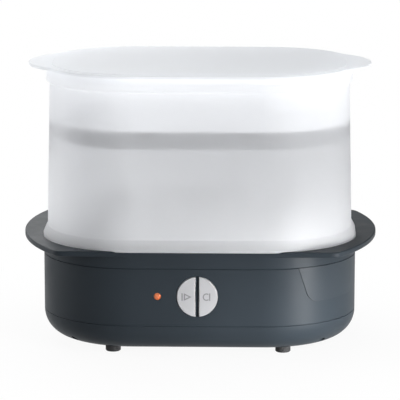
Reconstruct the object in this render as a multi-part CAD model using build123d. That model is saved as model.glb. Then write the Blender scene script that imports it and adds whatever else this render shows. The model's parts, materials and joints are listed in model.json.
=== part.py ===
from build123d import *
import math
import os

# Electric steam sterilizer, in millimetres.
# Origin on the surface it stands on, under the middle of the base.
# +X is the user's right, +Y points to the back, +Z up; the controls face -Y.

# Plan shape: every tier is a rounded rectangle about the same four corner centres,
# so one radius sets a whole outline.
CORNER_X = 60.5
CORNER_Y = 15.5
BASE_R = 84.5

# Heights of the tiers, from the feet up
FOOT_H = 5.5
PAN_H = 24.5
CASING_H = 53.0
COLLAR_H = 16.0
FLANGE_T = 5.0
TANK_H = 158.0
LID_T = 2.6

# Base shells
SHELL_T = 2.6
PAN_FILLET = 23.5
SEAM_CHAMFER = 0.5
DECK_T = 3.0
FLANGE_OUT = 20.0
FLANGE_END_R = 200.0
FLANGE_SHIFT = 17.0
FLANGE_BLEND_R = 12.0
FLANGE_EDGE_R = 1.2
SEAT_DEPTH = 1.0
SEAT_GAP = 0.5
CURB_H = 4.0
CURB_T = 3.0
CURB_GAP = 0.8
BASIN_SHELF = 12.9
BASIN_DEPTH = 12.0
BASIN_T = 2.5

# Screw pillars that tie pan and deck together, on the corner diagonals
PILLAR_R = 4.8
PILLAR_INSET = 10.0
PILLAR_ANGLE = 45.0
PILLAR_RISE = 27.0
PILLAR_WEB_T = 4.0
CASE_SCREW_R = 1.6
CASE_SCREW_HEAD_R = 3.0
CASE_SCREW_HEAD_H = 2.4
CASE_SCREW_LEN = 22.0
SCREW_GAP = 0.1
HEAD_GAP = 0.3

# Feet and drain slots
FOOT_INSET_X = 67.0
FOOT_INSET_Y = 29.0
FOOT_R = 7.0
FOOT_TAPER = 0.8
FOOT_PEG_R = 2.5
FOOT_PEG_H = 2.0
DRAIN_L = 22.0
DRAIN_W = 3.0
DRAIN_PITCH_X = 34.0
DRAIN_PITCH_Y = 12.0
DRAIN_COLUMNS = 3
DRAIN_ROWS = 2

# Heating plate, its seal, clamps and element
PLATE_SHELF = 15.0
PLATE_LAP = 8.0
PLATE_T = 1.2
DISH_GAP = 4.0
DISH_DEPTH = 6.3
DISH_FILLET = 2.1
SEAL_T = 2.0
SEAL_W = 6.0
CLAMP_COUNT = 3
CLAMP_START_ANGLE = 90.0
CLAMP_SCREW_OUT = 7.0
CLAMP_BITE = 6.0
CLAMP_END = 7.0
CLAMP_W = 12.0
CLAMP_T = 1.5
CLAMP_BOSS_R = 4.5
CLAMP_SCREW_R = 1.5
CLAMP_SCREW_HEAD_R = 3.0
CLAMP_SCREW_HEAD_H = 1.8
CLAMP_SCREW_BITE = 2.6
ELEMENT_INSET = 18.0
ELEMENT_TUBE_R = 3.2
ELEMENT_ARC = 300.0
ELEMENT_PIN_R = 2.0
ELEMENT_PIN_L = 14.0
THERMOSTAT_R = 9.0
THERMOSTAT_H = 6.0
THERMOSTAT_TAB_W = 5.0
THERMOSTAT_TAB_T = 0.8
THERMOSTAT_TAB_L = 8.0
THERMOSTAT_TAB_X = 4.5
FUSE_R = 2.4
FUSE_L = 16.0
FUSE_Y = 22.0
FUSE_CLIP_T = 0.8
FUSE_CLIP_W = 6.0
FUSE_CLIP_TAB_L = 7.2

# Two-part button, its housing and the indicator lamp, all on the flat front
BUTTON_R = 18.5
BUTTON_DROP = 25.5
BUTTON_SPLIT = 3.2
BUTTON_PROUD = 1.0
BUTTON_CAP_T = 6.0
BUTTON_EDGE_R = 0.8
BUTTON_GAP = 0.35
BUTTON_LIP_W = 1.6
BUTTON_LIP_T = 1.5
BUTTON_TRAVEL = 1.2
SYMBOL_DEPTH = 0.3
SYMBOL_X = 8.5
SYMBOL_H = 7.0
SYMBOL_LINE = 1.1
SYMBOL_BAR_GAP = 1.1
PLAY_HALF_ANGLE = 26.57
STEM_R = 3.0
STEM_X = 9.0
STEM_GAP = 0.05
HOUSING_T = 1.5
HOUSING_DEPTH = 11.4
HOUSING_BACK_T = 2.0
DIVIDER_SINK = 1.0
LAMP_X = -36.0
LAMP_R = 3.3
LAMP_FLANGE_R = 4.6
LAMP_FLANGE_T = 1.2
LAMP_DOME_H = 1.4
LAMP_GAP = 0.1

# Control board and what sits on it
BOARD_W = 88.0
BOARD_H = 42.0
BOARD_T = 1.6
BOARD_X = -12.0
BOARD_STANDOFF = 16.8
BOARD_POST_R = 3.0
BOARD_POST_IN = 4.0
BOARD_SCREW_R = 1.2
BOARD_SCREW_HEAD_R = 2.4
BOARD_SCREW_HEAD_H = 1.5
BOARD_SCREW_BITE = 8.0
SWITCH_W = 6.0
SWITCH_T = 3.0
SWITCH_PLUNGER_R = 1.7
SWITCH_PLUNGER_H = 0.5
LED_R = 2.5
LED_LIP_R = 2.9
LED_LIP_T = 1.0
LED_TIP_FLAT = 0.25
LED_GAP = 0.6
RELAY_W = 19.0
RELAY_H = 15.5
RELAY_T = 15.0
RELAY_X = -34.0
CAPACITOR_R = 4.0
CAPACITOR_L = 13.0
CAPACITOR_EDGE_R = 0.8
CAPACITOR_X = 4.0

# Cord inlet on the back and the terminal block behind it
GLAND_X = -42.0
GLAND_DROP = 32.0
GLAND_BORE_R = 3.6
GLAND_BODY_R = 6.6
GLAND_FLANGE_R = 9.0
GLAND_L = 14.0
GLAND_NUT_R = 9.5
GLAND_NUT_T = 5.0
GLAND_GAP = 0.1
BLOCK_L = 30.0
BLOCK_W = 16.0
BLOCK_H = 12.0
BLOCK_X = -10.0
BLOCK_Y = 62.0
BLOCK_PAD_H = 3.0
BLOCK_WAYS = 3
BLOCK_WAY_PITCH = 9.0
BLOCK_WAY_R = 2.4
WIRE_R = 1.1
WIRE_BEND_R = 6.0

# Bare tab-shaped panel on the right front corner
BADGE_ANGLE = 50.0
BADGE_TOP_HALF = 41.0
BADGE_LOW_HALF = 30.0
BADGE_H = 32.0
BADGE_CORNER_R = 12.0
BADGE_T = 1.3
BADGE_PROUD = 0.35
BADGE_GAP = 0.15

# Tank: frosted wall open at top and bottom
TANK_LIP_OUT = 0.5
TANK_LIP_H = 2.5
TANK_FLARE_H = 8.0
TANK_INSET = 3.7
TANK_DRAFT = 2.9
TANK_T = 2.2
RIM_H = 11.5
RIM_SLOPE = 2.6
RIM_OUT = 2.8
LEDGE_W = 16.0
LEDGE_REACH = 5.6
LEDGE_H = 5.0
LEDGE_X = 46.0
LEDGE_ROOT = 1.1

# Upper tray
TRAY_DROP = 47.0
TRAY_GAP = 1.8
TRAY_RIM_T = 2.5
TRAY_RIM_W = 4.8
TRAY_DRAFT = 1.2
TRAY_DEPTH = 19.5
TRAY_T = 1.8
TRAY_SLOT_L = 20.0
TRAY_SLOT_W = 5.0
TRAY_SLOT_PITCH_X = 26.0
TRAY_SLOT_PITCH_Y = 12.0
TRAY_SLOT_COLUMNS = 9
TRAY_SLOT_ROWS = 9
TRAY_GRIP_W = 44.0
TRAY_GRIP_H = 9.0
TRAY_GRIP_DROP = 3.5
TRAY_FIELD_INSET = 5.4

# Lower rack
RACK_GAP = 6.7
RACK_T = 3.0
RACK_CURB_GAP = 0.8
RACK_LEG_R = 4.0
RACK_LEG_INSET = 17.0
RACK_LEG_ANGLE = 39.0
CELL_PITCH_X = 80.0
CELL_Y = 40.0
CELL_COLUMNS = 3
CELL_CUT_R = 27.0
CELL_WEB = 7.0
POST_SPAN = 30.0
POST_T = 2.6
POST_H = 24.0
HANDLE_SPAN = 84.0
HANDLE_H = 34.0
HANDLE_POST_W = 8.0
HANDLE_BAR_H = 7.0
HANDLE_T = 6.0
HANDLE_EDGE_R = 1.5
HANDLE_TONGUE_W = 5.0
HANDLE_TONGUE_T = 3.0
HANDLE_TONGUE_GAP = 0.1

# Lid
LID_OVERHANG = 0.8
LID_EDGE_R = 0.9
LID_EAR_OUT = 17.0
LID_EAR_R = 62.0
LID_JOIN_R = 6.0
LID_PANEL_INSET = 6.0
LID_PANEL_H = 0.6
LID_PLUG_GAP = 0.7
LID_PLUG_T = 2.0
LID_PLUG_H = 5.0
LID_NOTCH_W = 12.0
LID_NOTCH_H = 2.5
LID_NOTCH_X = 40.0

# Worked out from the sizes above
BASE_HALF_X = CORNER_X + BASE_R
BASE_HALF_Y = CORNER_Y + BASE_R
TANK_LIP_R = BASE_R + TANK_LIP_OUT
TANK_LOW_R = BASE_R - TANK_INSET
TANK_HIGH_R = TANK_LOW_R - TANK_DRAFT
RIM_R = TANK_HIGH_R + RIM_OUT
LID_R = RIM_R + LID_OVERHANG
LID_PANEL_R = LID_R - LID_PANEL_INSET
LID_EAR_X = CORNER_X + LID_R + LID_EAR_OUT - LID_EAR_R
CURB_OUT_R = TANK_LOW_R - TANK_T - CURB_GAP
BASIN_R = CURB_OUT_R - CURB_T - BASIN_SHELF
TRAY_RIM_R = TANK_HIGH_R - TANK_T - TRAY_GAP
TRAY_TOP_R = TRAY_RIM_R - TRAY_RIM_W
TRAY_LOW_R = TRAY_TOP_R - TRAY_DRAFT
RACK_R = TANK_LOW_R - TANK_T - RACK_GAP
FLANGE_TIP_X = BASE_HALF_X + FLANGE_OUT
FLANGE_CENTRE_X = FLANGE_TIP_X - FLANGE_END_R
PILLAR_RING_R = BASE_R - PILLAR_INSET
FOOT_X = BASE_HALF_X - FOOT_INSET_X
FOOT_Y = BASE_HALF_Y - FOOT_INSET_Y
PLATE_HOLE_R = CORNER_Y + BASIN_R - PLATE_SHELF
PLATE_R = PLATE_HOLE_R + PLATE_LAP
DISH_R = PLATE_HOLE_R - DISH_GAP
SEAL_IN_R = PLATE_R - SEAL_W
CLAMP_RING_R = PLATE_R + CLAMP_SCREW_OUT
CLAMP_IN_R = PLATE_R - CLAMP_BITE
CLAMP_OUT_R = CLAMP_RING_R + CLAMP_END
ELEMENT_R = DISH_R - ELEMENT_INSET
FRONT_Y = -BASE_HALF_Y
WALL_IN_Y = FRONT_Y + SHELL_T
PAN_FLOOR_Z = FOOT_H + SHELL_T
PAN_TOP_Z = FOOT_H + PAN_H
CASING_TOP_Z = PAN_TOP_Z + CASING_H
DECK_TOP_Z = CASING_TOP_Z + COLLAR_H
PILLAR_JOINT_Z = PAN_TOP_Z + PILLAR_RISE
BUTTON_Z = CASING_TOP_Z - BUTTON_DROP
LAMP_Z = BUTTON_Z
GLAND_Z = CASING_TOP_Z - GLAND_DROP
TANK_Z = DECK_TOP_Z - SEAT_DEPTH
TANK_TOP_Z = TANK_Z + TANK_H
RIM_Z = TANK_TOP_Z - RIM_H
TRAY_TOP_Z = TANK_TOP_Z - TRAY_DROP
DECK_UNDER_Z = DECK_TOP_Z - DECK_T
BASIN_Z = DECK_TOP_Z - BASIN_DEPTH
BASIN_UNDER_Z = BASIN_Z - BASIN_T
PLATE_TOP_Z = BASIN_UNDER_Z - SEAL_T
PLATE_UNDER_Z = PLATE_TOP_Z - PLATE_T
DISH_UNDER_Z = PLATE_UNDER_Z - DISH_DEPTH
CURB_TOP_Z = TANK_Z + CURB_H
RACK_Z = CURB_TOP_Z + RACK_CURB_GAP
BUTTON_FACE_Y = FRONT_Y - BUTTON_PROUD
BUTTON_BACK_Y = BUTTON_FACE_Y + BUTTON_CAP_T
HOUSING_BACK_Y = WALL_IN_Y + HOUSING_DEPTH
HOUSING_IN_R = BUTTON_R + BUTTON_LIP_W + BUTTON_GAP
BOARD_Y = WALL_IN_Y + BOARD_STANDOFF
SWITCH_FACE_Y = BOARD_Y - SWITCH_T - SWITCH_PLUNGER_H
STEM_END_Y = SWITCH_FACE_Y - BUTTON_TRAVEL - STEM_GAP
TRAY_RIM_Z = TRAY_TOP_Z - TRAY_RIM_T
FAR = 400.0


def outline(radius):
    """Plan outline whose corners have this radius about the shared corner centres."""
    return RectangleRounded(2 * (CORNER_X + radius), 2 * (CORNER_Y + radius), radius)


def tier(radius, low, high):
    """Straight-sided tier between two heights."""
    return Pos(0, 0, low) * extrude(outline(radius), high - low)


def taper(low_radius, high_radius, low, high):
    """Tier that changes its radius from one height to the next."""
    sections = [Pos(0, 0, low) * outline(low_radius), Pos(0, 0, high) * outline(high_radius)]
    return loft(sections, ruled=True)


def upright(x, y, radius, low, high):
    """Vertical round post."""
    return Pos(x, y, low) * extrude(Circle(radius), high - low)


def along_y(x, z, radius, near, far):
    """Round piece that runs from front to back."""
    return Pos(x, near, z) * Rot(-90, 0, 0) * extrude(Circle(radius), far - near)


def block(x0, x1, y0, y1, z0, z1):
    """Box between two corners."""
    size = (x1 - x0, y1 - y0, z1 - z0)
    return Pos((x0 + x1) / 2, (y0 + y1) / 2, (z0 + z1) / 2) * Box(*size)


def edges_at(part, z):
    """Edges that lie flat at one height."""
    return part.edges().filter_by(lambda e: abs(e.bounding_box().min.Z - z) < 1e-4
                                  and abs(e.bounding_box().max.Z - z) < 1e-4)


def outer_edges_at(part, z, radius):
    """Edges at one height that follow the plan outline of this radius."""
    reach_x = CORNER_X + radius
    reach_y = CORNER_Y + radius

    def on_outline(edge):
        centre = edge.position_at(0.5)
        dx = max(abs(centre.X) - CORNER_X, 0)
        dy = max(abs(centre.Y) - CORNER_Y, 0)
        return abs(math.hypot(dx, dy) - radius) < 0.05 or (
            abs(abs(centre.X) - reach_x) < 0.05 or abs(abs(centre.Y) - reach_y) < 0.05)
    return edges_at(part, z).filter_by(on_outline)


def ring_points(radius, angle):
    """Four points on the corner diagonals at this radius and angle about the corner centres."""
    x = CORNER_X + radius * math.cos(math.radians(angle))
    y = CORNER_Y + radius * math.sin(math.radians(angle))
    return [(sx * x, sy * y) for sx in (-1, 1) for sy in (-1, 1)]


def foot_points():
    return [(sx * FOOT_X, sy * FOOT_Y) for sx in (-1, 1) for sy in (-1, 1)]


def pillar_points():
    return ring_points(PILLAR_RING_R, PILLAR_ANGLE)


def clamp_angles():
    return [CLAMP_START_ANGLE + i * 360 / CLAMP_COUNT for i in range(CLAMP_COUNT)]


def board_post_points():
    dx = BOARD_W / 2 - BOARD_POST_IN
    dz = BOARD_H / 2 - BOARD_POST_IN
    return [(BOARD_X + sx * dx, BUTTON_Z + sz * dz) for sx in (-1, 1) for sz in (-1, 1)]


def button_points():
    return [-STEM_X, STEM_X]


# Base shells

def base_pan():
    outer = tier(BASE_R, FOOT_H, PAN_TOP_Z)
    outer = fillet(outer_edges_at(outer, FOOT_H, BASE_R), PAN_FILLET)
    inner = tier(BASE_R - SHELL_T, PAN_FLOOR_Z, PAN_TOP_Z + SHELL_T)
    inner = fillet(outer_edges_at(inner, PAN_FLOOR_Z, BASE_R - SHELL_T), PAN_FILLET - SHELL_T)
    outer = chamfer(outer_edges_at(outer, PAN_TOP_Z, BASE_R), SEAM_CHAMFER)
    pan = outer - inner
    bowl = outer + tier(BASE_R - SHELL_T, PAN_TOP_Z - SHELL_T, CASING_TOP_Z)
    for x, y in pillar_points():
        pan += upright(x, y, PILLAR_R, FOOT_H, PILLAR_JOINT_Z) & bowl
        head_z = PILLAR_JOINT_Z - PILLAR_WEB_T
        pan -= upright(x, y, CASE_SCREW_HEAD_R + HEAD_GAP, 0, head_z)
        pan -= upright(x, y, CASE_SCREW_R + SCREW_GAP, 0, PILLAR_JOINT_Z)
    for x, y in foot_points():
        pan -= upright(x, y, FOOT_PEG_R, FOOT_H, FOOT_H + FOOT_PEG_H)
    slots = Sketch() + [
        loc * SlotOverall(DRAIN_L, DRAIN_W)
        for loc in GridLocations(DRAIN_PITCH_X, DRAIN_PITCH_Y, DRAIN_COLUMNS, DRAIN_ROWS)
    ]
    pan -= extrude(slots, PAN_FLOOR_Z + SHELL_T)
    pad_x = BLOCK_X - BLOCK_L / 2
    pad_y = BLOCK_Y - BLOCK_W / 2
    pan += block(pad_x, pad_x + BLOCK_L, pad_y, pad_y + BLOCK_W,
                 PAN_FLOOR_Z - SHELL_T / 2, PAN_FLOOR_Z + BLOCK_PAD_H)
    return pan


def casing_ring():
    """Wall of the casing in one piece, before it is parted into four panels."""
    band = tier(BASE_R, PAN_TOP_Z, CASING_TOP_Z)
    band = chamfer(outer_edges_at(band, PAN_TOP_Z, BASE_R)
                   + outer_edges_at(band, CASING_TOP_Z, BASE_R), SEAM_CHAMFER)
    band -= tier(BASE_R - SHELL_T, PAN_TOP_Z - SHELL_T, CASING_TOP_Z + SHELL_T)
    for x, z in board_post_points():
        band += along_y(x, z, BOARD_POST_R, WALL_IN_Y - SHELL_T / 2, BOARD_Y)
        band -= along_y(x, z, BOARD_SCREW_R + SCREW_GAP, WALL_IN_Y, BOARD_Y)
    wall_from = FRONT_Y - SHELL_T
    wall_to = WALL_IN_Y + SHELL_T / 2
    band -= along_y(0, BUTTON_Z, BUTTON_R + BUTTON_GAP, wall_from, wall_to)
    band -= along_y(LAMP_X, LAMP_Z, LAMP_R + LAMP_GAP, wall_from, wall_to)
    band -= along_y(GLAND_X, GLAND_Z, GLAND_BODY_R + GLAND_GAP,
                    BASE_HALF_Y - 2 * SHELL_T, BASE_HALF_Y + SHELL_T)
    return band - (badge_prism(BADGE_GAP) - badge_core())


def casing_front():
    return casing_ring() & block(-CORNER_X, CORNER_X, -FAR, 0, 0, FAR)


def casing_back():
    return casing_ring() & block(-CORNER_X, CORNER_X, 0, FAR, 0, FAR)


def casing_left():
    return casing_ring() & block(-FAR, -CORNER_X, -FAR, FAR, 0, FAR)


def casing_right():
    return casing_ring() & block(CORNER_X, FAR, -FAR, FAR, 0, FAR)


def badge_core():
    """All that lies deeper than the pocket of the corner panel."""
    return tier(BASE_R - BADGE_T, 0, DECK_TOP_Z)


def badge_prism(grow):
    """Tab-shaped prism that points out through the right front corner."""
    top = BADGE_TOP_HALF + grow
    low = BADGE_LOW_HALF + grow
    points = [(-top, SHELL_T), (top, SHELL_T), (low, -BADGE_H - grow), (-low, -BADGE_H - grow)]
    face = make_face(Polyline(*points, close=True))
    corners = face.vertices().filter_by(lambda v: v.Y < 0)
    face = fillet(corners, BADGE_CORNER_R)
    prism = extrude(face, BASE_R * 2)
    turned = Rot(0, 0, BADGE_ANGLE) * Rot(90, 0, 0) * prism
    return Pos(CORNER_X, -CORNER_Y, CASING_TOP_Z) * turned


def badge_panel():
    layer = tier(BASE_R + BADGE_PROUD, PAN_TOP_Z, CASING_TOP_Z)
    layer -= tier(BASE_R - BADGE_T, PAN_TOP_Z, CASING_TOP_Z)
    return layer & badge_prism(0)


def flange_outline():
    """Body outline widened by two wings; their middle lies a little behind the body's."""
    plan = Sketch() + Rectangle(2 * CORNER_X, 2 * BASE_HALF_Y)
    for side in (-1, 1):
        half = Pos(side * FLANGE_TIP_X / 2, 0) * Rectangle(FLANGE_TIP_X, 2 * BASE_HALF_Y)
        end = Pos(side * FLANGE_CENTRE_X, FLANGE_SHIFT) * Circle(FLANGE_END_R)
        plan += half & end
    corners = plan.vertices().filter_by(lambda v: abs(abs(v.Y) - BASE_HALF_Y) < 1e-3
                                        and abs(v.X) > CORNER_X)
    return fillet(corners, FLANGE_BLEND_R)


def upper_deck():
    flange = Pos(0, 0, DECK_TOP_Z - FLANGE_T) * extrude(flange_outline(), FLANGE_T)
    rims = edges_at(flange, DECK_TOP_Z) + edges_at(flange, DECK_TOP_Z - FLANGE_T)
    flange = fillet(rims, FLANGE_EDGE_R)
    collar = tier(BASE_R, CASING_TOP_Z, DECK_TOP_Z - FLANGE_EDGE_R)
    collar = chamfer(outer_edges_at(collar, CASING_TOP_Z, BASE_R), SEAM_CHAMFER)
    deck = flange + collar
    deck -= tier(BASE_R - SHELL_T, CASING_TOP_Z - SHELL_T, DECK_UNDER_Z)
    deck -= tier(TANK_LIP_R + SEAT_GAP, TANK_Z, DECK_TOP_Z + SHELL_T)
    deck += tier(CURB_OUT_R, TANK_Z - DECK_T / 2, CURB_TOP_Z)
    deck -= tier(CURB_OUT_R - CURB_T, TANK_Z, CURB_TOP_Z + SHELL_T)
    deck += tier(BASIN_R + BASIN_T, BASIN_UNDER_Z, DECK_UNDER_Z + DECK_T / 2)
    deck -= tier(BASIN_R, BASIN_Z, CURB_TOP_Z)
    deck -= upright(0, 0, PLATE_HOLE_R, BASIN_UNDER_Z - SHELL_T, DECK_TOP_Z)
    for angle in clamp_angles():
        x = CLAMP_RING_R * math.cos(math.radians(angle))
        y = CLAMP_RING_R * math.sin(math.radians(angle))
        deck += upright(x, y, CLAMP_BOSS_R, PLATE_UNDER_Z, BASIN_UNDER_Z + BASIN_T / 2)
        deck -= upright(x, y, CLAMP_SCREW_R + SCREW_GAP, PLATE_UNDER_Z,
                        PLATE_UNDER_Z + CLAMP_SCREW_BITE + HEAD_GAP)
    for x, y in pillar_points():
        deck += upright(x, y, PILLAR_R, PILLAR_JOINT_Z, DECK_UNDER_Z + DECK_T / 2)
        deck -= upright(x, y, CASE_SCREW_R + SCREW_GAP, PILLAR_JOINT_Z,
                        PILLAR_JOINT_Z + CASE_SCREW_LEN)
    return deck


def rubber_feet():
    feet = []
    for x, y in foot_points():
        pad = upright(x, y, FOOT_R, 0, FOOT_H)
        pad = chamfer(edges_at(pad, 0), FOOT_TAPER)
        feet.append(pad + upright(x, y, FOOT_PEG_R, FOOT_H / 2, FOOT_H + FOOT_PEG_H))
    return Compound(children=feet)


def casing_screws():
    screws = []
    head_z = PILLAR_JOINT_Z - PILLAR_WEB_T
    for x, y in pillar_points():
        screw = upright(x, y, CASE_SCREW_HEAD_R, head_z - CASE_SCREW_HEAD_H, head_z)
        screw += upright(x, y, CASE_SCREW_R, head_z - CASE_SCREW_HEAD_H / 2,
                         PILLAR_JOINT_Z + CASE_SCREW_LEN - HEAD_GAP)
        screws.append(screw)
    return Compound(children=screws)


# Heating parts

def heating_plate():
    plate = upright(0, 0, PLATE_R, PLATE_UNDER_Z, PLATE_TOP_Z)
    plate += upright(0, 0, DISH_R, DISH_UNDER_Z, PLATE_UNDER_Z + PLATE_T / 2)
    plate = fillet(edges_at(plate, DISH_UNDER_Z), DISH_FILLET)
    hollow = upright(0, 0, DISH_R - PLATE_T, DISH_UNDER_Z + PLATE_T, DECK_TOP_Z)
    return plate - hollow


def plate_seal():
    ring = Circle(PLATE_R) - Circle(SEAL_IN_R)
    return Pos(0, 0, PLATE_TOP_Z) * extrude(ring, SEAL_T)


def clamp_bracket(angle):
    low = PLATE_UNDER_Z - CLAMP_T
    bar = block(CLAMP_IN_R, CLAMP_OUT_R, -CLAMP_W / 2, CLAMP_W / 2, low, PLATE_UNDER_Z)
    bar -= upright(CLAMP_RING_R, 0, CLAMP_SCREW_R + SCREW_GAP, low, PLATE_UNDER_Z)
    return Rot(0, 0, angle) * bar


def clamp_screw(angle):
    low = PLATE_UNDER_Z - CLAMP_T
    screw = upright(CLAMP_RING_R, 0, CLAMP_SCREW_HEAD_R, low - CLAMP_SCREW_HEAD_H, low)
    screw += upright(CLAMP_RING_R, 0, CLAMP_SCREW_R, low - CLAMP_SCREW_HEAD_H / 2,
                     PLATE_UNDER_Z + CLAMP_SCREW_BITE)
    return Rot(0, 0, angle) * screw


def plate_clamps():
    return Compound(children=[clamp_bracket(angle) for angle in clamp_angles()])


def clamp_screws():
    return Compound(children=[clamp_screw(angle) for angle in clamp_angles()])


def element_ends():
    """Plan positions of the two ends of the open heating ring."""
    first = 90 - (360 - ELEMENT_ARC) / 2
    return [(ELEMENT_R * math.cos(math.radians(a)), ELEMENT_R * math.sin(math.radians(a)))
            for a in (first, first + 360 - ELEMENT_ARC)]


def heating_element():
    z = DISH_UNDER_Z - ELEMENT_TUBE_R
    start = 90 + (360 - ELEMENT_ARC) / 2
    section = Plane.XZ * Pos(ELEMENT_R, 0) * Circle(ELEMENT_TUBE_R)
    ring = Rot(0, 0, start) * revolve(section, Axis.Z, ELEMENT_ARC)
    element = Pos(0, 0, z) * ring
    for x, y in element_ends():
        element += upright(x, y, ELEMENT_PIN_R, z - ELEMENT_PIN_L, z)
    return element


def thermostat():
    body = upright(0, 0, THERMOSTAT_R, DISH_UNDER_Z - THERMOSTAT_H, DISH_UNDER_Z)
    low = DISH_UNDER_Z - THERMOSTAT_H
    for side in (-1, 1):
        x = side * THERMOSTAT_TAB_X
        body += block(x - THERMOSTAT_TAB_T / 2, x + THERMOSTAT_TAB_T / 2,
                      -THERMOSTAT_TAB_W / 2, THERMOSTAT_TAB_W / 2,
                      low - THERMOSTAT_TAB_L, low + THERMOSTAT_H / 2)
    return body


def thermal_fuse():
    z = DISH_UNDER_Z - FUSE_R - FUSE_CLIP_T
    return Pos(-FUSE_L / 2, FUSE_Y, z) * Rot(0, 90, 0) * extrude(Circle(FUSE_R), FUSE_L)


def fuse_clip():
    z = DISH_UNDER_Z - FUSE_R - FUSE_CLIP_T
    ring = Circle(FUSE_R + FUSE_CLIP_T) - Circle(FUSE_R)
    clip = Pos(-FUSE_CLIP_W / 2, FUSE_Y, z) * Rot(0, 90, 0) * extrude(ring, FUSE_CLIP_W)
    clip += block(-FUSE_CLIP_W / 2, FUSE_CLIP_W / 2, FUSE_Y, FUSE_Y + FUSE_CLIP_TAB_L,
                  DISH_UNDER_Z - FUSE_CLIP_T, DISH_UNDER_Z)
    return clip


# Controls

def half_disc(side, radius, split, near, far):
    """Half of a round disc on the front, cut back from the middle."""
    disc = along_y(0, BUTTON_Z, radius, near, far)
    edge = side * split / 2
    x0, x1 = sorted((edge, side * FAR))
    return disc & block(x0, x1, -FAR, FAR, -FAR, FAR)


def button_body(side):
    cap = half_disc(side, BUTTON_R, BUTTON_SPLIT, BUTTON_FACE_Y, BUTTON_BACK_Y)
    face = cap.edges().filter_by(lambda e: e.bounding_box().max.Y < BUTTON_FACE_Y + 1e-4)
    cap = fillet(face, BUTTON_EDGE_R)
    lip_y = WALL_IN_Y + BUTTON_GAP
    lip = half_disc(side, BUTTON_R + BUTTON_LIP_W, BUTTON_SPLIT, lip_y, lip_y + BUTTON_LIP_T)
    stem = along_y(side * STEM_X, BUTTON_Z, STEM_R, BUTTON_BACK_Y - BUTTON_LIP_T, STEM_END_Y)
    return cap + lip + stem


def on_face(sketch, x):
    """Stand a flat symbol on the button's front and sink it by the symbol depth."""
    solid = extrude(sketch, SYMBOL_DEPTH * 2)
    return Pos(x, BUTTON_FACE_Y + SYMBOL_DEPTH, BUTTON_Z) * Rot(90, 0, 0) * solid


def play_triangle(inset):
    """Triangle that points right, drawn in on all three sides by this much."""
    half = SYMBOL_H / 2
    slope = math.radians(PLAY_HALF_ANGLE)
    back = inset - half
    tip = half - inset / math.sin(slope)
    rise = (tip - back) * math.tan(slope)
    return make_face(Polyline((back, rise), (tip, 0), (back, -rise), close=True))


def play_symbol():
    bar_x = -SYMBOL_H / 2 - SYMBOL_BAR_GAP - SYMBOL_LINE / 2
    bar = Pos(bar_x, 0) * Rectangle(SYMBOL_LINE, SYMBOL_H)
    return (play_triangle(0) - play_triangle(SYMBOL_LINE)) + bar


def stop_symbol():
    radius = SYMBOL_H / 2
    ring = Circle(radius) - Circle(radius - SYMBOL_LINE)
    gap = Pos(radius, 0) * Rectangle(radius, SYMBOL_H)
    bar = Pos(radius / 2 + SYMBOL_LINE, 0) * Rectangle(SYMBOL_LINE, SYMBOL_H)
    return (ring - gap) + bar


def start_button():
    return button_body(-1) - on_face(play_symbol(), -SYMBOL_X)


def stop_button():
    return button_body(1) - on_face(stop_symbol(), SYMBOL_X)


def button_housing():
    cup = along_y(0, BUTTON_Z, HOUSING_IN_R + HOUSING_T, WALL_IN_Y, HOUSING_BACK_Y)
    cup -= along_y(0, BUTTON_Z, HOUSING_IN_R, WALL_IN_Y - SHELL_T,
                   HOUSING_BACK_Y - HOUSING_BACK_T)
    half = BUTTON_SPLIT / 2 - BUTTON_GAP
    divider = along_y(0, BUTTON_Z, BUTTON_R, FRONT_Y + DIVIDER_SINK, WALL_IN_Y + SHELL_T)
    divider += along_y(0, BUTTON_Z, HOUSING_IN_R + HOUSING_T / 2, WALL_IN_Y,
                       HOUSING_BACK_Y - HOUSING_BACK_T / 2)
    cup += divider & block(-half, half, -FAR, FAR, -FAR, FAR)
    for x in button_points():
        cup -= along_y(x, BUTTON_Z, STEM_R + BUTTON_GAP, WALL_IN_Y, HOUSING_BACK_Y + SHELL_T)
    return cup


def lamp_lens():
    front = FRONT_Y - BUTTON_PROUD / 2
    lens = along_y(LAMP_X, LAMP_Z, LAMP_R, front + LAMP_DOME_H, WALL_IN_Y + LAMP_FLANGE_T)
    ball_r = (LAMP_R ** 2 + LAMP_DOME_H ** 2) / (2 * LAMP_DOME_H)
    ball = Pos(LAMP_X, front + ball_r, LAMP_Z) * Sphere(ball_r)
    lens += ball & along_y(LAMP_X, LAMP_Z, LAMP_R, front - LAMP_DOME_H, front + LAMP_DOME_H)
    lens += along_y(LAMP_X, LAMP_Z, LAMP_FLANGE_R, WALL_IN_Y, WALL_IN_Y + LAMP_FLANGE_T)
    return lens


def indicator_led():
    tip = WALL_IN_Y + LAMP_FLANGE_T + LED_GAP
    led = along_y(LAMP_X, LAMP_Z, LED_R, tip, BOARD_Y)
    led += along_y(LAMP_X, LAMP_Z, LED_LIP_R, BOARD_Y - LED_LIP_T, BOARD_Y)
    rim = led.edges().filter_by(lambda e: e.bounding_box().max.Y < tip + 1e-4)
    return fillet(rim, LED_R - LED_TIP_FLAT)


def control_board():
    board = block(BOARD_X - BOARD_W / 2, BOARD_X + BOARD_W / 2, BOARD_Y, BOARD_Y + BOARD_T,
                  BUTTON_Z - BOARD_H / 2, BUTTON_Z + BOARD_H / 2)
    for x, z in board_post_points():
        board -= along_y(x, z, BOARD_SCREW_R + SCREW_GAP, BOARD_Y, BOARD_Y + BOARD_T)
    return board


def board_screws():
    back = BOARD_Y + BOARD_T
    screws = []
    for x, z in board_post_points():
        screw = along_y(x, z, BOARD_SCREW_HEAD_R, back, back + BOARD_SCREW_HEAD_H)
        screws.append(screw + along_y(x, z, BOARD_SCREW_R, BOARD_Y - BOARD_SCREW_BITE,
                                      back + BOARD_SCREW_HEAD_H / 2))
    return Compound(children=screws)


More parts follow.
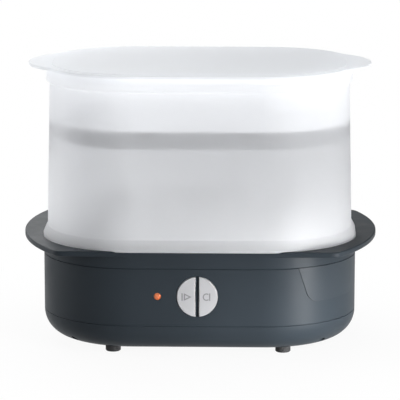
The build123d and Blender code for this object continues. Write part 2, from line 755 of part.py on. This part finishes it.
def tact_switches():
    switches = []
    for x in button_points():
        half = SWITCH_W / 2
        switch = block(x - half, x + half, BOARD_Y - SWITCH_T, BOARD_Y,
                       BUTTON_Z - half, BUTTON_Z + half)
        switch += along_y(x, BUTTON_Z, SWITCH_PLUNGER_R, SWITCH_FACE_Y, BOARD_Y - SWITCH_T / 2)
        switches.append(switch)
    return Compound(children=switches)


def relay():
    back = BOARD_Y + BOARD_T
    return block(RELAY_X - RELAY_W / 2, RELAY_X + RELAY_W / 2, back, back + RELAY_T,
                 BUTTON_Z - RELAY_H / 2, BUTTON_Z + RELAY_H / 2)


def capacitor():
    back = BOARD_Y + BOARD_T
    can = along_y(CAPACITOR_X, BUTTON_Z, CAPACITOR_R, back, back + CAPACITOR_L)
    rim = can.edges().filter_by(lambda e: e.bounding_box().min.Y > back + CAPACITOR_L - 1e-4)
    return fillet(rim, CAPACITOR_EDGE_R)


# Mains side

def cord_gland():
    face = BASE_HALF_Y + BUTTON_PROUD
    gland = along_y(GLAND_X, GLAND_Z, GLAND_BODY_R, face - GLAND_L, face)
    gland += along_y(GLAND_X, GLAND_Z, GLAND_FLANGE_R, BASE_HALF_Y, face)
    return gland - along_y(GLAND_X, GLAND_Z, GLAND_BORE_R, 0, face + SHELL_T)


def gland_nut():
    seat = BASE_HALF_Y - SHELL_T
    hexagon = RegularPolygon(GLAND_NUT_R, 6) - Circle(GLAND_BODY_R + GLAND_GAP)
    nut = extrude(hexagon, GLAND_NUT_T)
    return Pos(GLAND_X, seat - GLAND_NUT_T, GLAND_Z) * Rot(-90, 0, 0) * nut


def block_way_x(index):
    return BLOCK_X + (index - (BLOCK_WAYS - 1) / 2) * BLOCK_WAY_PITCH


def terminal_block():
    z = PAN_FLOOR_Z + BLOCK_PAD_H
    body = block(BLOCK_X - BLOCK_L / 2, BLOCK_X + BLOCK_L / 2, BLOCK_Y - BLOCK_W / 2,
                 BLOCK_Y + BLOCK_W / 2, z, z + BLOCK_H)
    for index in range(BLOCK_WAYS):
        x = block_way_x(index)
        body -= upright(x, BLOCK_Y, BLOCK_WAY_R, z + BLOCK_H / 2, z + BLOCK_H)
    return body


def wire(points):
    """Insulated lead with rounded bends."""
    path = FilletPolyline(*points, radius=WIRE_BEND_R)
    start = Plane(origin=path @ 0, z_dir=path % 0)
    return sweep(start * Circle(WIRE_R), path)


def power_leads():
    """Leads from the terminal block up to the two ends of the heating ring."""
    top = PAN_FLOOR_Z + BLOCK_PAD_H + BLOCK_H
    pin_z = DISH_UNDER_Z - ELEMENT_TUBE_R - ELEMENT_PIN_L
    bridge_z = (top + pin_z) / 2
    leads = []
    for (x, y), way in zip(element_ends(), (BLOCK_WAYS - 1, 0)):
        block_x = block_way_x(way)
        points = [(block_x, BLOCK_Y, top), (block_x, BLOCK_Y, bridge_z),
                  (x, y, bridge_z), (x, y, pin_z)]
        leads.append(wire(points))
    return Compound(children=leads)


# Lift-off parts

def tank_radius(z):
    """Outer corner radius of the tank wall at a height."""
    low = TANK_Z + TANK_LIP_H + TANK_FLARE_H
    share = (z - low) / (RIM_Z - RIM_SLOPE - low)
    return TANK_LOW_R + (TANK_HIGH_R - TANK_LOW_R) * share


def tray_ledges():
    """Small brackets inside the tank that carry the tray's rim."""
    inner = tank_radius(TRAY_RIM_Z) - TANK_T
    reach_y = CORNER_Y + inner
    reach_x = CORNER_X + inner
    low = TRAY_RIM_Z - LEDGE_H
    half = LEDGE_W / 2
    ledges = []
    for side in (-1, 1):
        for x in (-LEDGE_X, LEDGE_X):
            y0, y1 = sorted((side * (reach_y - LEDGE_REACH), side * (reach_y + LEDGE_ROOT)))
            ledges.append(block(x - half, x + half, y0, y1, low, TRAY_RIM_Z))
        x0, x1 = sorted((side * (reach_x - LEDGE_REACH), side * (reach_x + LEDGE_ROOT)))
        ledges.append(block(x0, x1, -half, half, low, TRAY_RIM_Z))
    return ledges


def tank_form(inset):
    """Tank outline as a solid, drawn in by this much."""
    lip_z = TANK_Z + TANK_LIP_H
    flare_z = lip_z + TANK_FLARE_H
    slope_z = RIM_Z - RIM_SLOPE
    lip = TANK_LIP_R - inset
    low = TANK_LOW_R - inset
    high = TANK_HIGH_R - inset
    rim = RIM_R - inset
    form = tier(lip, TANK_Z, lip_z)
    form += taper(lip, low, lip_z, flare_z)
    form += taper(low, high, flare_z, slope_z)
    form += taper(high, rim, slope_z, RIM_Z)
    return form + tier(rim, RIM_Z, TANK_TOP_Z)


def tank():
    body = tank_form(0) - tank_form(TANK_T)
    for ledge in tray_ledges():
        body += ledge
    return body


def upper_tray():
    low = TRAY_TOP_Z - TRAY_DEPTH
    tray = taper(TRAY_LOW_R, TRAY_TOP_R, low, TRAY_TOP_Z)
    tray = fillet(outer_edges_at(tray, low, TRAY_LOW_R), TRAY_T)
    tray += tier(TRAY_RIM_R, TRAY_RIM_Z, TRAY_TOP_Z)
    tray -= taper(TRAY_LOW_R - TRAY_T, TRAY_TOP_R - TRAY_T, low + TRAY_T, TRAY_TOP_Z)
    slots = Sketch() + [
        loc * SlotOverall(TRAY_SLOT_L, TRAY_SLOT_W)
        for loc in GridLocations(TRAY_SLOT_PITCH_X, TRAY_SLOT_PITCH_Y,
                                 TRAY_SLOT_COLUMNS, TRAY_SLOT_ROWS)
    ]
    field = slots & outline(TRAY_LOW_R - TRAY_FIELD_INSET)
    tray -= Pos(0, 0, low - TRAY_T) * extrude(field, 3 * TRAY_T)
    grip_z = TRAY_RIM_Z - TRAY_GRIP_DROP
    tray -= block(-FAR, FAR, -TRAY_GRIP_W / 2, TRAY_GRIP_W / 2, grip_z - TRAY_GRIP_H, grip_z)
    return tray


def cell_points():
    xs = [(i - (CELL_COLUMNS - 1) / 2) * CELL_PITCH_X for i in range(CELL_COLUMNS)]
    return [(x, side * CELL_Y) for x in xs for side in (-1, 1)]


def cell_cut():
    """Steam openings under one bottle: a disc less a cross of webs."""
    web = 2 * CELL_CUT_R
    return Circle(CELL_CUT_R) - Rectangle(web, CELL_WEB) - Rectangle(CELL_WEB, web)


def rack_handle():
    """Lifting bar on two posts, snapped into slots of the rack."""
    floor = RACK_Z + RACK_T
    top = floor + HANDLE_H
    half = HANDLE_SPAN / 2
    bridge = block(-half, half, -HANDLE_T / 2, HANDLE_T / 2, floor, top)
    bridge = fillet(bridge.edges().filter_by(Axis.X).group_by(Axis.Z)[-1], HANDLE_EDGE_R)
    inside = half - HANDLE_POST_W
    bridge -= block(-inside, inside, -HANDLE_T, HANDLE_T, floor - RACK_T, top - HANDLE_BAR_H)
    for x, y0, y1 in handle_slots(0):
        bridge += block(x - HANDLE_TONGUE_W / 2, x + HANDLE_TONGUE_W / 2, y0, y1, RACK_Z,
                        floor + HANDLE_EDGE_R)
    return bridge


def handle_slots(gap):
    """Place and thickness of the two tongues, or of their slots when there is a gap."""
    x = (HANDLE_SPAN - HANDLE_POST_W) / 2
    half = HANDLE_TONGUE_T / 2 + gap
    return [(-x, -half, half), (x, -half, half)]


def lower_rack():
    rack = tier(RACK_R, RACK_Z, RACK_Z + RACK_T)
    top = RACK_Z + RACK_T
    for x, y in cell_points():
        rack -= Pos(x, y, RACK_Z - RACK_T) * extrude(cell_cut(), 3 * RACK_T)
        blade = Rectangle(POST_SPAN, POST_T) + Rectangle(POST_T, POST_SPAN)
        rack += Pos(x, y, top - RACK_T / 2) * extrude(blade, POST_H + RACK_T / 2)
    for x, y in ring_points(BASIN_R - RACK_LEG_INSET, RACK_LEG_ANGLE):
        rack += upright(x, y, RACK_LEG_R, BASIN_Z, RACK_Z + RACK_T / 2)
    reach = HANDLE_TONGUE_W / 2 + HANDLE_TONGUE_GAP
    for x, y0, y1 in handle_slots(HANDLE_TONGUE_GAP):
        rack -= block(x - reach, x + reach, y0, y1, RACK_Z, top)
    return rack


def lid_outline():
    """Tank outline with a round grip ear at each end."""
    plan = outline(LID_R)
    for side in (-1, 1):
        plan += Pos(side * LID_EAR_X, 0) * Circle(LID_EAR_R)
    return plan


def lid():
    plate = Pos(0, 0, TANK_TOP_Z) * extrude(lid_outline(), LID_T)
    joins = plate.edges().filter_by(Axis.Z).filter_by(
        lambda e: abs(e.center().X) > CORNER_X + LID_JOIN_R)
    plate = fillet(joins, LID_JOIN_R)
    top_z = TANK_TOP_Z + LID_T
    plate = fillet(edges_at(plate, top_z), LID_EDGE_R)
    plate += taper(LID_PANEL_R, LID_PANEL_R - LID_PANEL_H, top_z, top_z + LID_PANEL_H)
    plug_r = RIM_R - TANK_T - LID_PLUG_GAP
    plug = tier(plug_r, TANK_TOP_Z - LID_PLUG_H, TANK_TOP_Z + LID_T / 2)
    plug -= tier(plug_r - LID_PLUG_T, TANK_TOP_Z - LID_PLUG_H, TANK_TOP_Z)
    low = TANK_TOP_Z - LID_PLUG_H
    for x in (-LID_NOTCH_X, LID_NOTCH_X):
        plug -= block(x - LID_NOTCH_W / 2, x + LID_NOTCH_W / 2, -FAR, FAR,
                      low, low + LID_NOTCH_H)
    return plate + plug


PARTS = {
    "upper_deck": upper_deck,
    "casing_front": casing_front,
    "casing_back": casing_back,
    "casing_left": casing_left,
    "casing_right": casing_right,
    "base_pan": base_pan,
    "badge_panel": badge_panel,
    "rubber_feet": rubber_feet,
    "casing_screws": casing_screws,
    "heating_plate": heating_plate,
    "plate_seal": plate_seal,
    "plate_clamps": plate_clamps,
    "clamp_screws": clamp_screws,
    "heating_element": heating_element,
    "thermostat": thermostat,
    "thermal_fuse": thermal_fuse,
    "fuse_clip": fuse_clip,
    "start_button": start_button,
    "stop_button": stop_button,
    "button_housing": button_housing,
    "lamp_lens": lamp_lens,
    "indicator_led": indicator_led,
    "control_board": control_board,
    "board_screws": board_screws,
    "tact_switches": tact_switches,
    "relay": relay,
    "capacitor": capacitor,
    "cord_gland": cord_gland,
    "gland_nut": gland_nut,
    "terminal_block": terminal_block,
    "power_leads": power_leads,
    "tank": tank,
    "upper_tray": upper_tray,
    "lower_rack": lower_rack,
    "rack_handle": rack_handle,
    "lid": lid,
}

os.makedirs("parts", exist_ok=True)
for name, make in PARTS.items():
    export_step(make(), f"parts/{name}.step")
    print(name)
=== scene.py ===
import json
import math

import bpy
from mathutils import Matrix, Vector

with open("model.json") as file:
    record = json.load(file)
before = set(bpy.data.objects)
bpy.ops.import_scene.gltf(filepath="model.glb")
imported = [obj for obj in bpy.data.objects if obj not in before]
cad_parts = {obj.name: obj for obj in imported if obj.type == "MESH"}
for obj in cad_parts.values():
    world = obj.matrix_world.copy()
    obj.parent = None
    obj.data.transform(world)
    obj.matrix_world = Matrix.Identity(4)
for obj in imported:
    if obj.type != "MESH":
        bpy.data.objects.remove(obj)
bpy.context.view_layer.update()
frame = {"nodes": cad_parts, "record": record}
NODES = frame["nodes"]

# Camera, fitted to the outlines of the photograph: metres and radians
CAMERA_DISTANCE = 2.498
CAMERA_HEIGHT = 0.6205
CAMERA_PITCH = 0.195
CAMERA_YAW = 0.026
CAMERA_REACH = 50.0
FOCAL_PIXELS = 2719.6
FRAME_PIXELS = 400
SENSOR_MM = 36.0

# The sunk symbols, where shade is painted, lie this far from the middle of the buttons, and
# behind their faces
SYMBOL_REACH_X = 0.0155
SYMBOL_REACH_Z = 0.0045
SYMBOL_SHALLOW = 0.0001
SYMBOL_DEEP = 0.0006

# Noise in the materials: cells per metre, octaves, and the values that colours span
CLOUD_SCALE = 14.0
FROST_CLOUD_SCALE = 9.0
GLOSS_SCALE = 60.0
GRAIN_SCALE = 900.0
FROST_GRAIN_SCALE = 1400.0
BRUSH_SCALE = 6.0
CLOUD_DETAIL = 4.0
GRAIN_DETAIL = 2.0
NOISE_LOW = 0.3
NOISE_HIGH = 0.7

# Plastic and metal: how far gloss and colour wander on each side of their value
PLASTIC_MOTTLING = 0.06
PLASTIC_GLOSS_SPREAD = 0.08
METAL_GLOSS_SPREAD = 0.2
METAL_DARKENING = 0.1
PLASTIC_SPECULAR = 0.5
METAL_ROUGHNESS = 0.3

# Relief in the surfaces: strength, and height in metres
GRAIN_RELIEF = (0.35, 0.00003)
FROST_RELIEF = (0.2, 0.00002)
BRUSH_RELIEF = (0.15, 0.00005)

# Brush lines: how the noise is stretched along each axis
BRUSHED_ROUND = (4.0, 4.0, 400.0)
BRUSHED_ACROSS = (60.0, 60.0, 4.0)

# Frosted walls and the lamp's lens
FROST_ROUGHNESS = 0.42
FROST_IOR = 1.3
FROST_CLOUDING = 0.015
LENS_ROUGHNESS = 0.12
LENS_BLEND = 0.35
LENS_HEART = (1.0, 0.62, 0.35)
LENS_RIM_AT = 0.5

# Surround that lights the object
AMBIENT_COLOUR = (0.93, 0.95, 1.0)
AMBIENT_STRENGTH = 0.16

# Sky that is seen: full at SKY_LOW, SKY_LEVEL from SKY_HIGH up, and less on the right
SKY_COLOUR = (0.8, 0.8, 0.8)
SKY_LOW = 0.02
SKY_HIGH = 0.2
SKY_LEVEL = 0.75
SKY_SIDE = 0.06
SKY_SIDE_DROP = 0.45

# Floor: its sides, its colour, and the share of plain white from near the object to far
FLOOR_SIZE = 12.0
FLOOR_COLOUR = (0.86, 0.86, 0.86)
WHITE = (1.0, 1.0, 1.0)
SHADOW_NEAR = 0.12
SHADOW_FAR = 0.34
SHADOW_WHITE = 0.93

# Lamps: place and aim in metres, sides in metres, watts, and spread of the beam in degrees
MIDDLE = (0.0, 0.0, 0.12)
TANK_MIDDLE = (0.0, 0.0, 0.18)
RIGHT_FOOT = (0.09, -0.09, 0.02)
FULL_SPREAD = 180.0
LAMPS = {
    "key_right": dict(place=(1.35, -1.20, 0.70), aim=MIDDLE, sides=(0.7, 1.1), watts=22.5),
    "low_right": dict(place=(0.46, -0.40, 0.02), aim=RIGHT_FOOT, sides=(0.16, 0.06),
                      watts=0.29, spread=30.0),
    "top_soft": dict(place=(0.0, 0.1, 1.9), aim=MIDDLE, sides=(1.6, 1.2), watts=7.3),
    "back_soft": dict(place=(-0.6, 1.35, 1.1), aim=TANK_MIDDLE, sides=(1.4, 0.6), watts=19.0),
    "left_back": dict(place=(-1.6, 0.3, 0.45), aim=TANK_MIDDLE, sides=(0.7, 0.8), watts=12.0),
}

# Looks, by material slot
PLASTICS = {
    "base_plastic": dict(colour=(0.021, 0.027, 0.033), roughness=0.45, specular=0.09),
    "badge_plastic": dict(colour=(0.024, 0.030, 0.036), roughness=0.42, specular=0.10),
    "rubber_foot": dict(colour=(0.015, 0.015, 0.016), roughness=0.8, grain=500.0),
    "seal_rubber": dict(colour=(0.72, 0.72, 0.70), roughness=0.6),
    # The silver buttons' last colour is painted shade laid into their sunk symbols
    "button_silver": dict(colour=(0.335, 0.335, 0.345), roughness=0.33, mottling=0.02,
                          specular=0.4, ink=(0.17, 0.17, 0.175)),
    "led_resin": dict(colour=(0.85, 0.45, 0.25), roughness=0.2),
    "board_green": dict(colour=(0.03, 0.16, 0.07), roughness=0.35),
    "switch_plastic": dict(colour=(0.03, 0.03, 0.03), roughness=0.5),
    "relay_plastic": dict(colour=(0.04, 0.09, 0.28), roughness=0.45),
    "gland_plastic": dict(colour=(0.02, 0.02, 0.022), roughness=0.5),
    "block_plastic": dict(colour=(0.80, 0.80, 0.76), roughness=0.45),
    "wire_insulation": dict(colour=(0.30, 0.09, 0.05), roughness=0.55),
    "tray_plastic": dict(colour=(0.27, 0.275, 0.29), roughness=0.5),
    "rack_plastic": dict(colour=(0.27, 0.275, 0.29), roughness=0.5),
}
METALS = {
    "screw_steel": dict(colour=(0.62, 0.62, 0.64)),
    "plate_steel": dict(colour=(0.66, 0.66, 0.65), roughness=0.28, brush=BRUSHED_ACROSS),
    "bracket_steel": dict(colour=(0.55, 0.56, 0.58), roughness=0.4),
    "element_steel": dict(colour=(0.30, 0.30, 0.31), roughness=0.5),
    "thermostat_metal": dict(colour=(0.65, 0.65, 0.65)),
    "fuse_metal": dict(colour=(0.62, 0.50, 0.30)),
    "capacitor_metal": dict(colour=(0.30, 0.32, 0.40)),
}
FROSTED = {
    "frosted_plastic": dict(colour=(0.95, 0.955, 0.965), see_through=0.42, blur=0.45,
                            glow=0.62, lamp_share=0.7, specular=0.35),
    "lid_plastic": dict(colour=(0.89, 0.9, 0.912), see_through=0.2, blur=0.5,
                        glow=0.48, lamp_share=0.88, specular=0.1),
}
LENSES = {
    "lamp_orange": dict(colour=(0.45, 0.066, 0.007), strength=0.17),
}


class Graph:
    """A shader's node tree, with short ways to add nodes and to feed their sockets."""

    def __init__(self, tree, output="OutputMaterial"):
        self.nodes = tree.nodes
        self.links = tree.links
        self.nodes.clear()
        self.output = self.nodes.new("ShaderNode" + output)

    def feed(self, socket, value):
        """Link a socket to another one, or set it to a value."""
        if isinstance(value, bpy.types.NodeSocket):
            self.links.new(value, socket)
        else:
            socket.default_value = value

    def add(self, kind, inputs, result=0, **settings):
        """Add a node, feed its inputs and return the output named or numbered result."""
        node = self.nodes.new("ShaderNode" + kind)
        for name, value in settings.items():
            setattr(node, name, value)
        for key, value in inputs.items():
            self.feed(node.inputs[key], value)
        return node.outputs[result]

    def finish(self, shader):
        """Show this shader on the surface."""
        self.links.new(shader, self.output.inputs["Surface"])

    def mix(self, share, first, second):
        """Blend two shaders, where a share of one is all of the second."""
        return self.add("MixShader", {"Fac": share, 1: first, 2: second})

    def mix_colours(self, share, first, second):
        """Blend two colours; the node keeps them at inputs 6 and 7, and output 2."""
        return self.add("Mix", {0: share, 6: first, 7: second}, 2, data_type="RGBA")

    def math(self, operation, first, second=0.0):
        """One operation on sockets or numbers."""
        return self.add("Math", {0: first, 1: second}, operation=operation)

    def fade(self, value, low, high, out_low, out_high):
        """Smooth change from out_low to out_high while the value goes from low to high."""
        return self.add("MapRange", {"Value": value, "From Min": low, "From Max": high,
                                     "To Min": out_low, "To Max": out_high},
                        interpolation_type="SMOOTHSTEP")

    def coords(self, kind="Object"):
        """Coordinates as one vector."""
        return self.add("TexCoord", {}, kind)

    def axes(self, kind="Object"):
        """Coordinates as three numbers."""
        split = self.nodes.new("ShaderNodeSeparateXYZ")
        self.feed(split.inputs["Vector"], self.coords(kind))
        return tuple(split.outputs)

    def noise(self, scale, detail=CLOUD_DETAIL, vector=None):
        """Noise in object space, or over another vector."""
        if vector is None:
            vector = self.coords()
        return self.add("TexNoise", {"Vector": vector, "Scale": scale, "Detail": detail})

    def ramp(self, source, low, high, low_at=NOISE_LOW, high_at=NOISE_HIGH):
        """Colour that goes from low to high."""
        node = self.nodes.new("ShaderNodeValToRGB")
        stops = ((low_at, low), (high_at, high))
        for element, (position, colour) in zip(node.color_ramp.elements, stops):
            element.position = position
            element.color = rgba(colour)
        self.feed(node.inputs["Fac"], source)
        return node.outputs["Color"]

    def bump(self, height, relief):
        """Normal of a surface whose relief is a strength and a height."""
        strength, distance = relief
        return self.add("Bump", {"Height": height, "Strength": strength, "Distance": distance})

    def seen_ray(self):
        """One for rays from the camera and for those that gloss or glass send on."""
        path = self.nodes.new("ShaderNodeLightPath").outputs
        mirrored = self.math("MAXIMUM", path["Is Camera Ray"], path["Is Glossy Ray"])
        return self.math("MAXIMUM", mirrored, path["Is Transmission Ray"])


def rgba(colour):
    return (*colour, 1.0)


def grey(level):
    return (level, level, level)


def shade(colour, factor):
    return tuple(min(1.0, channel * factor) for channel in colour)


def corners(piece):
    """Low and high corner of a piece's mesh, in the shared frame."""
    points = [vertex.co for vertex in piece.data.vertices]
    return [[pick(point[axis] for point in points) for axis in range(3)]
            for pick in (min, max)]


def new_material(slot):
    material = bpy.data.materials.new(slot + "_mat")
    material.use_nodes = True
    return material, Graph(material.node_tree)


def symbol_shade_share(graph):
    """One in the sunk symbols of the two buttons, where shade is painted, and zero elsewhere.
    """
    low, high = corners(NODES["start_button"])
    face_y = low[1]
    middle_z = (low[2] + high[2]) / 2
    x, y, z = graph.axes()
    rise = graph.math("SUBTRACT", z, middle_z)
    share = graph.math("GREATER_THAN", y, face_y + SYMBOL_SHALLOW)
    for value, limit in ((y, face_y + SYMBOL_DEEP),
                         (graph.math("ABSOLUTE", x), SYMBOL_REACH_X),
                         (graph.math("ABSOLUTE", rise), SYMBOL_REACH_Z)):
        share = graph.math("MULTIPLY", share, graph.math("LESS_THAN", value, limit))
    return share


def plastic(slot, colour, roughness, grain=GRAIN_SCALE, mottling=PLASTIC_MOTTLING,
            specular=PLASTIC_SPECULAR, ink=None):
    """Moulded plastic: faint mottling, fine spark-eroded grain, uneven gloss.

    Where a shade colour is given, it is painted shade that darkens the sunk symbols."""
    material, graph = new_material(slot)
    tint = graph.ramp(graph.noise(CLOUD_SCALE),
                      shade(colour, 1 - mottling), shade(colour, 1 + mottling))
    # Painted shade: the sunk symbols are darkened as if their grooves lay in shadow
    if ink:
        tint = graph.mix_colours(symbol_shade_share(graph), tint, rgba(ink))
    gloss = graph.ramp(graph.noise(GLOSS_SCALE), grey(roughness * (1 - PLASTIC_GLOSS_SPREAD)),
                       grey(roughness * (1 + PLASTIC_GLOSS_SPREAD)))
    skin = graph.bump(graph.noise(grain, GRAIN_DETAIL), GRAIN_RELIEF)
    graph.finish(graph.add("BsdfPrincipled", {"Base Color": tint, "Roughness": gloss,
                                              "Specular IOR Level": specular,
                                              "Normal": skin}))
    return material


def metal(slot, colour, roughness=METAL_ROUGHNESS, brush=BRUSHED_ROUND):
    """Metal with fine brush lines."""
    material, graph = new_material(slot)
    stretched = graph.add("Mapping", {"Vector": graph.coords(), "Scale": brush})
    lines = graph.noise(BRUSH_SCALE, GRAIN_DETAIL, stretched)
    tint = graph.ramp(lines, shade(colour, 1 - METAL_DARKENING), colour)
    gloss = graph.ramp(lines, grey(roughness * (1 - METAL_GLOSS_SPREAD)),
                       grey(roughness * (1 + METAL_GLOSS_SPREAD)))
    graph.finish(graph.add("BsdfPrincipled", {"Base Color": tint, "Metallic": 1.0,
                                              "Roughness": gloss,
                                              "Normal": graph.bump(lines, BRUSH_RELIEF)}))
    return material


def frosted(slot, colour, see_through, blur, glow, lamp_share, specular):
    """Frosted plastic: part of the light scatters in the wall, part passes blurred.

    A share of the lamps' light passes straight through."""
    material, graph = new_material(slot)
    skin = graph.bump(graph.noise(FROST_GRAIN_SCALE, GRAIN_DETAIL), FROST_RELIEF)
    tint = graph.ramp(graph.noise(FROST_CLOUD_SCALE),
                      shade(colour, 1 - FROST_CLOUDING), colour)
    face = graph.add("BsdfPrincipled", {"Base Color": tint, "Roughness": FROST_ROUGHNESS,
                                        "Specular IOR Level": specular, "Normal": skin})
    back = graph.add("BsdfTranslucent", {"Color": tint})
    clear = graph.add("BsdfRefraction", {"Color": tint, "IOR": FROST_IOR, "Roughness": blur})
    wall = graph.mix(see_through, graph.mix(glow, face, back), clear)
    shadow_ray = graph.add("LightPath", {}, "Is Shadow Ray")
    opened = graph.add("BsdfTransparent", {})
    graph.finish(graph.mix(graph.math("MULTIPLY", shadow_ray, lamp_share), wall, opened))
    return material


def lens(slot, colour, strength):
    """Clear coloured lens, lit from inside."""
    material, graph = new_material(slot)
    facing = graph.add("LayerWeight", {"Blend": LENS_BLEND}, "Facing")
    glow = graph.ramp(facing, LENS_HEART, colour, 0.0, LENS_RIM_AT)
    graph.finish(graph.add("BsdfPrincipled", {"Base Color": rgba(colour),
                                              "Roughness": LENS_ROUGHNESS,
                                              "Emission Color": glow,
                                              "Emission Strength": strength}))
    return material


def dress_nodes():
    """Give each CAD node the procedural material of its slot."""
    materials = {slot: make(slot, **look)
                 for make, looks in ((plastic, PLASTICS), (metal, METALS),
                                     (frosted, FROSTED), (lens, LENSES))
                 for slot, look in looks.items()}
    for part in frame["record"]["subparts"]:
        piece = NODES[part["node"]]
        piece.data.materials.clear()
        piece.data.materials.append(materials[part["material_slot"]])


def add_camera():
    data = bpy.data.cameras.new("view_camera")
    data.sensor_width = SENSOR_MM
    data.lens = FOCAL_PIXELS / FRAME_PIXELS * SENSOR_MM
    data.clip_end = CAMERA_REACH
    camera = bpy.data.objects.new("view_camera", data)
    camera.location = (CAMERA_DISTANCE * math.sin(CAMERA_YAW),
                       -CAMERA_DISTANCE * math.cos(CAMERA_YAW), CAMERA_HEIGHT)
    camera.rotation_euler = (math.pi / 2 - CAMERA_PITCH, 0, CAMERA_YAW)
    bpy.context.scene.collection.objects.link(camera)
    bpy.context.scene.camera = camera


def add_lamp(name, place, aim, sides, watts, spread=FULL_SPREAD):
    data = bpy.data.lights.new(name, "AREA")
    data.shape = "RECTANGLE"
    data.size, data.size_y = sides
    data.energy = watts
    data.spread = math.radians(spread)
    light = bpy.data.objects.new(name, data)
    light.location = place
    direction = Vector(aim) - Vector(place)
    light.rotation_euler = direction.to_track_quat("-Z", "Y").to_euler()
    bpy.context.scene.collection.objects.link(light)


def add_lamps():
    for name, settings in LAMPS.items():
        add_lamp(name, **settings)


def add_world():
    """Surround with a soft light of its own and a pale sky for the rays that see it."""
    world = bpy.data.worlds.new("studio")
    bpy.context.scene.world = world
    world.use_nodes = True
    graph = Graph(world.node_tree, "OutputWorld")
    ambient = graph.add("Background", {"Color": rgba(AMBIENT_COLOUR),
                                       "Strength": AMBIENT_STRENGTH})
    x, _, z = graph.axes("Generated")
    level = graph.fade(z, SKY_LOW, SKY_HIGH, 1.0, SKY_LEVEL)
    side = graph.fade(x, -SKY_SIDE, SKY_SIDE, 0.0, SKY_SIDE_DROP)
    lifted = graph.fade(z, SKY_LOW, SKY_HIGH, 0.0, 1.0)
    strength = graph.math("SUBTRACT", level, graph.math("MULTIPLY", side, lifted))
    sky = graph.add("Background", {"Color": rgba(SKY_COLOUR), "Strength": strength})
    graph.finish(graph.mix(graph.seen_ray(), ambient, sky))


def add_floor():
    """Pale floor that fades to white and keeps the object's shadow."""
    half = FLOOR_SIZE / 2
    mesh = bpy.data.meshes.new("floor")
    mesh.from_pydata([(-half, -half, 0), (half, -half, 0), (half, half, 0), (-half, half, 0)],
                     [], [(0, 1, 2, 3)])
    floor = bpy.data.objects.new("floor", mesh)
    bpy.context.scene.collection.objects.link(floor)
    material, graph = new_material("floor")
    matt = graph.add("BsdfDiffuse", {"Color": rgba(FLOOR_COLOUR)})
    white = graph.add("Emission", {"Color": rgba(WHITE), "Strength": 1.0})
    distance = graph.add("VectorMath", {0: graph.coords()}, "Value", operation="LENGTH")
    white_share = graph.fade(distance, SHADOW_NEAR, SHADOW_FAR, SHADOW_WHITE, 1.0)
    graph.finish(graph.mix(graph.math("MULTIPLY", graph.seen_ray(), white_share), matt, white))
    mesh.materials.append(material)


add_camera()
dress_nodes()
add_world()
add_floor()
add_lamps()
bpy.context.scene.view_settings.view_transform = "Standard"
